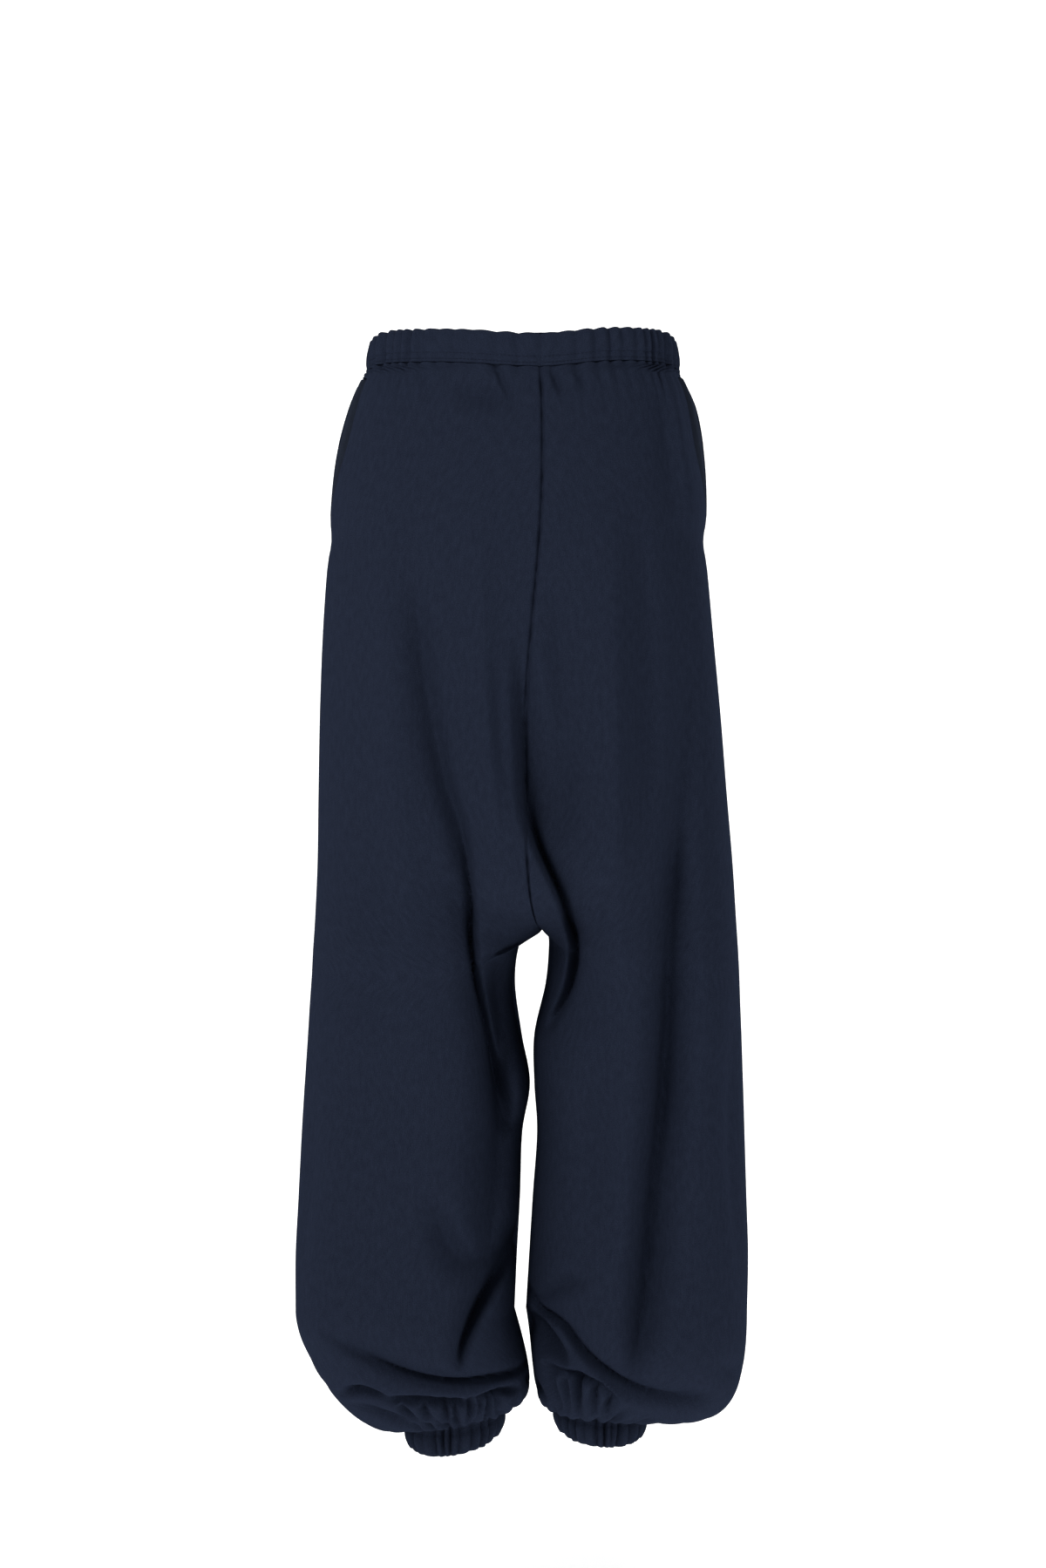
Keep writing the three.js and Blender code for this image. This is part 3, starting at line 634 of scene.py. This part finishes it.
def addNode(tree, kind, settings=None, links=None):
    node = tree.nodes.new("ShaderNode" + kind)
    for key, value in (settings or {}).items():
        if hasattr(node, key):
            setattr(node, key, value)
        else:
            node.inputs[key].default_value = value
    for key, source in (links or {}).items():
        tree.links.new(source, node.inputs[key])
    return node


waveUnit = 0.314   # a wave texture of scale 1 repeats at this distance

# Sizes are in millimetres on the cloth
fleece = {
    "colour": "#232938", "dark": "#1d2230", "light": "#293041",
    "darkPlace": 0.34, "lightPlace": 0.66,
    "waleSpacing": 1.5,   # the real knit is 0.7 mm, too fine to show, so it is drawn coarser
    "waleWander": 1.2,
    "waleShare": 0.45,    # of the relief; the rest is fibre
    "fibreSize": 0.9,
    "mottleSize": 4.0,
    "mottleStretch": (1, 0.4, 1),
    "mottleShare": 0.3,   # of the colour; the rest is fibre
    "relief": 0.4, "bump": 0.2,
    "roughness": 0.92, "shine": 0.0,
    "sheen": 0.015, "sheenTint": "#7c89ab",
}


def emptyMaterial(name):
    material = bpy.data.materials.new(name)
    material.use_nodes = True
    tree = material.node_tree
    tree.nodes.clear()
    output = addNode(tree, "OutputMaterial")
    coordinates = addNode(tree, "TexCoord")
    return material, tree, output, coordinates


def fleeceMaterial(name, values):
    # Brushed sweatshirt cotton: a fine jersey face with a short, matte nap
    material, tree, output, coordinates = emptyMaterial(name)
    cloth = addNode(tree, "Mapping", {"Scale": (1 / mm, 1 / mm, 1 / mm)},
                    {"Vector": coordinates.outputs["UV"]})
    onCloth = {"Vector": cloth.outputs["Vector"]}
    fibre = addNode(tree, "TexNoise",
                    {"Scale": 1 / values["fibreSize"], "Detail": 3.0, "Roughness": 0.6}, onCloth)
    stretched = addNode(tree, "Mapping", {"Scale": values["mottleStretch"]}, onCloth)
    mottle = addNode(tree, "TexNoise",
                     {"Scale": 1 / values["mottleSize"], "Detail": 4.0, "Roughness": 0.55},
                     {"Vector": stretched.outputs["Vector"]})
    wale = addNode(tree, "TexWave",
                   {"wave_type": "BANDS", "bands_direction": "X", "wave_profile": "SIN",
                    "Scale": 1 / values["waleSpacing"] * waveUnit, "Distortion": values["waleWander"],
                    "Detail": 1.0, "Detail Scale": 1.5}, onCloth)
    tone = addNode(tree, "Mix", {"data_type": "FLOAT", "Factor": values["mottleShare"]},
                   {"A": fibre.outputs["Fac"], "B": mottle.outputs["Fac"]})
    ramp = addNode(tree, "ValToRGB", None, {"Fac": tone.outputs["Result"]})
    ends = ramp.color_ramp.elements
    ends[0].position = values["darkPlace"]
    ends[0].color = linear(values["dark"])
    ends[1].position = values["lightPlace"]
    ends[1].color = linear(values["light"])
    middle = ends.new(0.5)
    middle.color = linear(values["colour"])
    relief = addNode(tree, "Mix", {"data_type": "FLOAT", "Factor": values["waleShare"]},
                     {"A": fibre.outputs["Fac"], "B": wale.outputs["Fac"]})
    bump = addNode(tree, "Bump", {"Strength": values["bump"], "Distance": values["relief"] * mm},
                   {"Height": relief.outputs["Result"]})
    shader = addNode(tree, "BsdfPrincipled",
                     {"Roughness": values["roughness"], "Specular IOR Level": values["shine"],
                      "Sheen Weight": values["sheen"], "Sheen Roughness": 0.5,
                      "Sheen Tint": linear(values["sheenTint"])},
                     {"Base Color": ramp.outputs["Color"], "Normal": bump.outputs["Normal"]})
    tree.links.new(shader.outputs["BSDF"], output.inputs["Surface"])
    return material


navyFleece = fleeceMaterial("brushedNavyFleece", fleece)
# The pocket layer's jersey has no nap, so it looks greyer and a touch flatter
pocketJersey = fleeceMaterial("darkPocketJersey", {
    **fleece, "colour": "#232833", "dark": "#1f232c", "light": "#282d38", "sheen": 0.02})

thread = {
    "colour": "#141a28", "roughness": 0.9, "shine": 0.1,
    "diameter": 0.55, "twist": 0.5, "relief": 0.1, "bump": 0.3,
    "stitch": 2.6, "space": 0.7,
    "lift": 0.15,         # how far its middle lies above the cloth
    "segments": 6, "rings": 5,
}


def threadMaterial():
    # Spun polyester sewing thread: a little smoother and darker than the nap around it
    material, tree, output, coordinates = emptyMaterial("navyPolyesterThread")
    twist = addNode(tree, "TexWave",
                    {"bands_direction": "DIAGONAL", "Scale": 1 / mm / thread["twist"] * waveUnit},
                    {"Vector": coordinates.outputs["Object"]})
    bump = addNode(tree, "Bump", {"Strength": thread["bump"], "Distance": thread["relief"] * mm},
                   {"Height": twist.outputs["Fac"]})
    shader = addNode(tree, "BsdfPrincipled",
                     {"Base Color": linear(thread["colour"]), "Roughness": thread["roughness"],
                      "Specular IOR Level": thread["shine"]},
                     {"Normal": bump.outputs["Normal"]})
    tree.links.new(shader.outputs["BSDF"], output.inputs["Surface"])
    return material


navyThread = threadMaterial()
print("materials made")


# Panels
panels = {
    "back": {"flat": (0.46, 1.06), "area": 0.38},
    "front": {"flat": (0.44, 1.04), "area": 0.36},
}


def panelPoints(side, face):
    isBack = face == "back"
    rows = rowPlaces()
    parts = columnPlaces(isBack)[None]
    openness = pocketOpenness(rows)[:, None]
    start = 0 * openness if isBack else 0.5 + pocket["frontPull"] * openness
    end = 0.5 - pocket["backPull"][side] * openness if isBack else 1 + 0 * openness
    around = start + (end - start) * parts
    row = np.broadcast_to(rows[:, None], around.shape)
    plain = plainPoints(side, around, row)
    outward = outwardOf(side, around, row)
    width = np.linalg.norm(np.diff(plain, axis=1), axis=-1).sum(axis=1, keepdims=True)
    fromStart = parts * width
    fromEnd = (1 - parts) * width
    level = between(sections[:, 0], np.minimum(row, balloonTop))
    overCuff = row - balloonTop
    # folds go partly straight in through the face, pleats go level
    folded, onSide = foldHeight(side, around, row, plain)
    faceWay = np.where(around < 0.5, 1.0, -1.0)[..., None] * np.array([0, 1.0, 0])
    straightIn = fold["towardFace"] * (1 - smooth(overCuff / fold["towardFaceEnd"]))[..., None]
    into = outward * (1 - straightIn) + faceWay * straightIn
    pleats = cuffPleats(side, around, overCuff)
    nearCuff = smooth((overCuff - gathers["turnFrom"]) / gathers["turnOver"])[..., None]
    pleatWay = outward * (1 - nearCuff) + outwardFlat(side, around) * nearCuff
    height = onSide + waistRipple(side, around, level)
    underBand = np.exp(-((level - sections[0, 0]) / seam["underBandWidth"]) ** 2)
    height = height - seam["underBand"] * underBand
    drift = seam["puckerWander"] * np.sin(level / seam["puckerDrift"])
    pucker = 1 + seam["pucker"] * np.sin(level / seam["puckerLength"] + drift)
    for gap, isRise in ((fromStart, isBack), (fromEnd, not isBack)):
        groove = seam["grooveDepth"] * np.exp(-(gap / seam["grooveWidth"]) ** 2) * pucker
        height = height - (groove if isRise else groove * seam["outseamShare"] * (1 - openness))
    points = plain + outward * height[..., None] + into * folded[..., None] + pleatWay * pleats[..., None]
    # at the pocket the back edge sinks and the front one lifts
    if isBack:
        sink = pocket["dip"] * openness * (1 - smooth(fromEnd / pocket["dipWidth"]))
        return points - outward * sink[..., None]
    lip = pocket["lip"] * openness * (1 - smooth(parts / pocket["lipWidth"]))
    return points + outward * lip[..., None]


def makePanel(side, face):
    points = panelPoints(side, face)
    piece = gridPiece(f"{face}Panel_{side}", points)
    faceAway(piece, points)
    thicken(piece, garment["wall"])
    finishPiece(piece, navyFleece, f"{face}_{side}")


# Casings: cloth folded over elastic. Heights are from the sewn edge, rows and samples are of the mesh.
casing = {
    "thickness": 3.6,
    "turnRows": 9, "insideRows": 7,
    "outerLayer": -0.5,   # nearer the outside than this is the outer layer
    "stitchSamples": 900,
}


def casingProfile(values):
    # Up the outside, round the fold and down the inside: height, and distance in or out
    thickness = casing["thickness"]
    radius = thickness / 2
    edge = values["height"] - radius
    outside = [(height, 0.0) for height in np.linspace(0, edge, values["outsideRows"])]
    angles = np.linspace(0, math.pi, casing["turnRows"])[1:-1]
    turn = [(edge + radius * math.sin(angle), -radius + radius * math.cos(angle)) for angle in angles]
    inside = [(height, -thickness - values["insideStep"])
              for height in np.linspace(edge, values["insideFoot"], casing["insideRows"])]
    return np.array(values["start"] + outside + turn + inside + values["tail"])


def spread(profile, columns):
    around = np.linspace(0, 1, columns)[None] + 0 * profile[:, 0:1]
    return around, profile[:, 0:1] + 0 * around, profile[:, 1:2] + 0 * around


def stitchPinch(values, height):
    return sum(values["pinch"] * np.exp(-((height - at) / values["pinchWidth"]) ** 2)
               for at in values["stitchRows"])


def bellyShare(values, height):
    place = (height - values["bulgeFrom"]) / (values["height"] - values["bulgeFrom"])
    return np.sin(np.pi * np.clip(place, 0, 1))


# Waistband: two rows of stitching near its lower edge
band = {
    "height": 29, "cloth": 1.6,
    "widthTop": 137.5, "widthBottom": 141, "back": 98, "front": 95, "seamX": -15, "halfLength": 375,
    "bulge": 1.2, "bulgeFrom": 6, "ripple": 0.75, "rippleGain": 0.25, "edgeDip": 0.35, "edgeDipShape": 3,
    "grooveDepth": 2.4, "grooveWidth": 1.4, "grooveLayer": -1,
    "stitchRows": [8.0, 2.7], "pinch": 0.7, "pinchWidth": 1.1, "stitchMargin": 0.004,
    "start": [], "insideFoot": 2, "insideStep": 0,
    "tail": [(-1.5, -5.4), (-5.0, -6.0)],   # the inner layer is sewn down inside the panels
    "columns": 300, "outsideRows": 19,
    "sampleRow": -5,   # a row on the outside, that tells which way the faces look
    "flat": (0.47, 0.058),
}


def bandRing(side, around, up, out):
    angle = np.pi * (0.5 - around)
    halfWidth = band["widthBottom"] + (band["widthTop"] - band["widthBottom"]) * up
    depth = np.where(around < 0.5, band["back"], band["front"]) + out
    outer = sides[side] * (halfWidth + out)
    level = np.zeros_like(around)
    x = band["seamX"] + (outer - band["seamX"]) * power(np.cos(angle))
    y = depth * power(np.sin(angle))
    z = band["height"] / 2 * (2 * up - 1) + liftAt(side, around, level)
    z = z + waistRipple(side, around, level) * band["edgeDip"] * up ** band["edgeDipShape"]
    return np.stack([x, y, z], axis=-1)


def bandPoint(side, around, height, inward):
    up = height / band["height"]
    onOutside = inward > casing["outerLayer"]
    belly = band["bulge"] * bellyShare(band, height) * onOutside
    pinch = stitchPinch(band, height) * onOutside
    ripple = waistRipple(side, around, np.zeros_like(around)) * (band["ripple"] + band["rippleGain"] * up)
    return bandRing(side, around, up, inward + belly - pinch + ripple)


def makeBand(side):
    around, height, inward = spread(casingProfile(band)[::-1], band["columns"])
    points = bandPoint(side, around, height, inward)
    fromSeam = np.minimum(around, 1 - around) * band["halfLength"]
    groove = band["grooveDepth"] * np.exp(-(fromSeam / band["grooveWidth"]) ** 2)
    groove = groove * (inward > band["grooveLayer"])
    points = points - outwardFlat(side, around, 1) * groove[..., None]
    for column in (0, -1):
        points[:, column, 0] = band["seamX"]
    return gridPiece(f"waistCasing_{side}", points), points


# Cuffs: a short casing folded under at its lower edge, pulled in tight pleats
cuff = {
    "height": 27, "cloth": 1.5, "gap": 0.3, "clearance": 0.4, "taper": 6,
    "bulge": 3.2, "bulgeFrom": 5, "bulgeShape": 0.8, "ripple": 0.75, "rippleGain": 0.35,
    "lean": 0.004, "leanPace": 47,   # the pleats lean a little, now one way and now the other
    "waver": 0.8, "wavers": 9,       # and the lower edge wavers
    "stitchRows": [3.0, 7.5], "pinch": 0.8, "pinchWidth": 1.0, "stitchMargin": 0,
    "start": [(-3.0, -3.6), (0, -3.6)],   # the top edge is sewn inside the leg
    "insideFoot": 4, "insideStep": 0.1, "tail": [],
    "columns": 324, "outsideRows": 17, "sampleRow": 10,
    "flat": (0.36, 0.058),
}


def cuffPoint(side, around, fall, inward):
    share = fall / cuff["height"]
    onOutside = inward > casing["outerLayer"]
    belly = cuff["bulge"] * bellyShare(cuff, fall) ** cuff["bulgeShape"] * onOutside
    pinch = stitchPinch(cuff, fall) * onOutside
    lean = around + cuff["lean"] * np.sin(around * cuff["leanPace"]) * share
    ripple = cuffRipple(side, lean) * (cuff["ripple"] + cuff["rippleGain"] * np.sin(np.pi * share))
    out = inward + belly - pinch + ripple - cuff["clearance"] - cuff["taper"] * share
    waver = cuff["waver"] * np.sin(around * 2 * np.pi * cuff["wavers"]) * share * onOutside
    points = anklePoints(side, np.mod(around, 1)) + outwardFlat(side, around) * out[..., None]
    points[..., 2] -= cuff["gap"] + fall + waver
    return points


def makeCuff(side):
    around, fall, inward = spread(casingProfile(cuff), cuff["columns"] + 1)
    points = cuffPoint(side, around, fall, inward)
    points[:, -1] = points[:, 0]
    piece = gridPiece(f"ankleCuff_{side}", points)
    # the ring's two ends meet
    editAll(piece, bpy.ops.mesh.remove_doubles, threshold=0.00001)
    return piece, points


def finishCasing(piece, points, side, values, node):
    place = points[values["sampleRow"], points.shape[1] // 2]
    faceToward(piece, place, (sides[side], 0, 0))
    thicken(piece, values["cloth"])
    finishPiece(piece, navyFleece, node)


# Stitches: one thread stitch, copied along a row
def stitchRow(name, places, tangents, normals):
    deselectAll()
    bpy.ops.mesh.primitive_uv_sphere_add(segments=thread["segments"], ring_count=thread["rings"], radius=0.5)
    stitch = bpy.context.object
    count = len(stitch.data.vertices)
    shape = np.zeros(count * 3)
    stitch.data.vertices.foreach_get("co", shape)
    shape = shape.reshape(-1, 3) * np.array([thread["diameter"], thread["diameter"], thread["stitch"]])
    faces = [tuple(polygon.vertices) for polygon in stitch.data.polygons]
    bpy.data.objects.remove(stitch)
    places = places + normals * thread["lift"]
    across = np.cross(normals, tangents)
    points = (places[:, None] + shape[None, :, 2:3] * tangents[:, None]
              + shape[None, :, 0:1] * across[:, None] + shape[None, :, 1:2] * normals[:, None])
    allFaces = [tuple(index + copy * count for index in face)
                for copy in range(len(places)) for face in faces]
    mesh = bpy.data.meshes.new(name)
    mesh.from_pydata((points.reshape(-1, 3) * mm).tolist(), [], allFaces)
    mesh.update()
    piece = bpy.data.objects.new(name, mesh)
    bpy.context.scene.collection.objects.link(piece)
    selectOnly(piece)
    bpy.ops.object.shade_smooth()
    piece.data.materials.append(navyThread)
    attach(piece, "root")


def pointsAt(points, travelled, at):
    return np.stack([np.interp(at, travelled, points[:, axis]) for axis in range(3)], axis=-1)


def stitchPlaces(points):
    # Even places on a line of points, with its direction there
    step = np.linalg.norm(np.diff(points, axis=0), axis=-1)
    travelled = np.concatenate([[0], np.cumsum(step)])
    spacing = thread["stitch"] + thread["space"]
    at = np.arange(spacing / 2, travelled[-1], spacing)
    direction = pointsAt(points, travelled, at + 0.5) - pointsAt(points, travelled, at - 0.5)
    direction /= np.linalg.norm(direction, axis=-1, keepdims=True)
    return pointsAt(points, travelled, at), direction


def sewCasing(side, name, values, pointAt, turn):
    ends = (values["stitchMargin"], 1 - values["stitchMargin"])
    around = np.linspace(*ends, casing["stitchSamples"])
    for index, height in enumerate(values["stitchRows"]):
        line = pointAt(side, around, np.full_like(around, height), np.zeros_like(around))
        places, direction = stitchPlaces(line)
        outward = outwardFlat(side, np.linspace(*ends, len(places)), turn)
        stitchRow(f"{name}{index + 1}_{side}", places, direction, outward)


# Pocket layer, inside the open side seam
def makePocket(side):
    rows = np.linspace(pocket["firstRow"], pocket["lastRow"], pocket["rows"])[:, None]
    share = np.linspace(0, 1, pocket["columns"])[None] + 0 * rows
    rows = rows + 0 * share
    wide = pocket["reachFront"] + pocket["reachBack"]
    around = 0.5 + pocket["reachFront"] - wide * share
    outward = outwardOf(side, around, rows)
    openness = pocketOpenness(rows)
    # it drops behind the back panel's edge
    edge = (pocket["reachFront"] + pocket["backPull"][side] * openness) / wide
    behind = smooth((share - edge) / pocket["bagFallOver"] + 1)
    depth = pocket["inset"] + (pocket["dip"] * openness + pocket["bagFall"][side]) * behind
    depth = depth - pocket["lip"] * openness * pocket["lipShare"]
    points = plainPoints(side, around, rows) - outward * depth[..., None]
    piece = gridPiece(f"pocketLayer_{side}", points)
    faceAway(piece, points)
    middle = (pocket["rows"] // 2, pocket["columns"] // 2)
    faceToward(piece, points[middle], outward[middle])
    thicken(piece, garment["wall"])
    finishPiece(piece, pocketJersey, f"pocket_{side}")


for side in sides:
    for face in panels:
        makePanel(side, face)
    print("panels made:", side)
    finishCasing(*makeBand(side), side, band, f"waistband_{side}")
    sewCasing(side, "bandStitch", band, bandPoint, 1)
    finishCasing(*makeCuff(side), side, cuff, f"cuff_{side}")
    sewCasing(side, "cuffStitch", cuff, cuffPoint, 2)
    makePocket(side)
    print("waistband, cuff and pocket made:", side)


# Studio: a pale floor that curves up behind, soft light all round
studio = {
    "floorLevel": -1.05, "width": 16, "near": 8.0, "reach": 2.4, "curve": 3.2, "curveSteps": 12,
    "height": 5.5, "paper": "#ffffff", "roughness": 0.9,
    "glow": 0.5,          # stands for the lamps that light the paper alone
    "air": 0.22,
}

# name, place, aim, size, power
lamps = [
    ("keyBoxLeft", (0.95, 1.3, 0.6), (0, 0, -0.12), (0.5, 0.9), 13.2),
    ("keyBoxRight", (-2.5, 1.3, 0.6), (0, 0, -0.25), (0.8, 1.4), 10.5),
    ("topBox", (0, 0.6, 2.4), (0, 0, -0.4), (1.6, 1.2), 4),
    ("frontBoxLeft", (2.5, -1.3, 0.6), (0, 0, -0.25), (0.8, 1.4), 10.5),
    ("frontBoxRight", (-0.95, -1.3, 0.6), (0, 0, -0.12), (0.5, 0.9), 13.2),
    ("paperWash", (0, -1.6, 3.6), (0, -5.2, 0.4), (5.0, 1.0), 125),
]


def makeBackdrop():
    profile = [(studio["near"], 0.0), (-studio["reach"], 0.0)]
    for step in range(1, studio["curveSteps"] + 1):
        angle = step / studio["curveSteps"] * math.pi / 2
        back = -studio["reach"] - studio["curve"] * math.sin(angle)
        profile.append((back, studio["curve"] * (1 - math.cos(angle))))
    profile.append((-studio["reach"] - studio["curve"], studio["height"]))
    deselectAll()
    bpy.ops.mesh.primitive_grid_add(x_subdivisions=1, y_subdivisions=len(profile) - 1, size=1)
    floor = bpy.context.object
    floor.name = "paperFloor"
    for vertex in floor.data.vertices:
        index = round((vertex.co.y + 0.5) * (len(profile) - 1))
        y, z = profile[index]
        vertex.co = (vertex.co.x * studio["width"], y, studio["floorLevel"] + z)
    bpy.ops.object.shade_smooth()
    material = bpy.data.materials.new("seamlessPaper")
    material.use_nodes = True
    shader = material.node_tree.nodes["Principled BSDF"]
    for key, value in (("Base Color", linear(studio["paper"])), ("Roughness", studio["roughness"]),
                       ("Emission Color", (1, 1, 1, 1)), ("Emission Strength", studio["glow"])):
        shader.inputs[key].default_value = value
    floor.data.materials.append(material)


def areaLight(name, place, aim, size, energy):
    data = bpy.data.lights.new(name, "AREA")
    data.shape = "RECTANGLE"
    data.size, data.size_y = size
    data.energy = energy
    lamp = bpy.data.objects.new(name, data)
    bpy.context.scene.collection.objects.link(lamp)
    lamp.location = place
    lamp.visible_camera = False
    direction = Vector(aim) - Vector(place)
    lamp.rotation_euler = direction.to_track_quat("-Z", "Y").to_euler()


makeBackdrop()
world = bpy.data.worlds.new("studioAir")
world.use_nodes = True
air = world.node_tree.nodes["Background"]
air.inputs["Color"].default_value = (1, 1, 1, 1)
air.inputs["Strength"].default_value = studio["air"]
bpy.context.scene.world = world
for lamp in lamps:
    areaLight(*lamp)
bpy.context.scene.view_settings.view_transform = "Standard"
bpy.context.scene.view_settings.look = "None"

# Camera: level, behind the garment, at the middle of its height
view = {"distance": 3.2, "height": -0.381, "focal": 82.1, "filmHeight": 36}
cameraData = bpy.data.cameras.new("studioCamera")
cameraData.sensor_fit = "VERTICAL"
cameraData.sensor_height = view["filmHeight"]
cameraData.lens = view["focal"]
camera = bpy.data.objects.new("studioCamera", cameraData)
bpy.context.scene.collection.objects.link(camera)
camera.location = (0, view["distance"], view["height"])
camera.rotation_euler = (math.radians(90), 0, math.radians(180))
bpy.context.scene.camera = camera
print("studio and camera made")
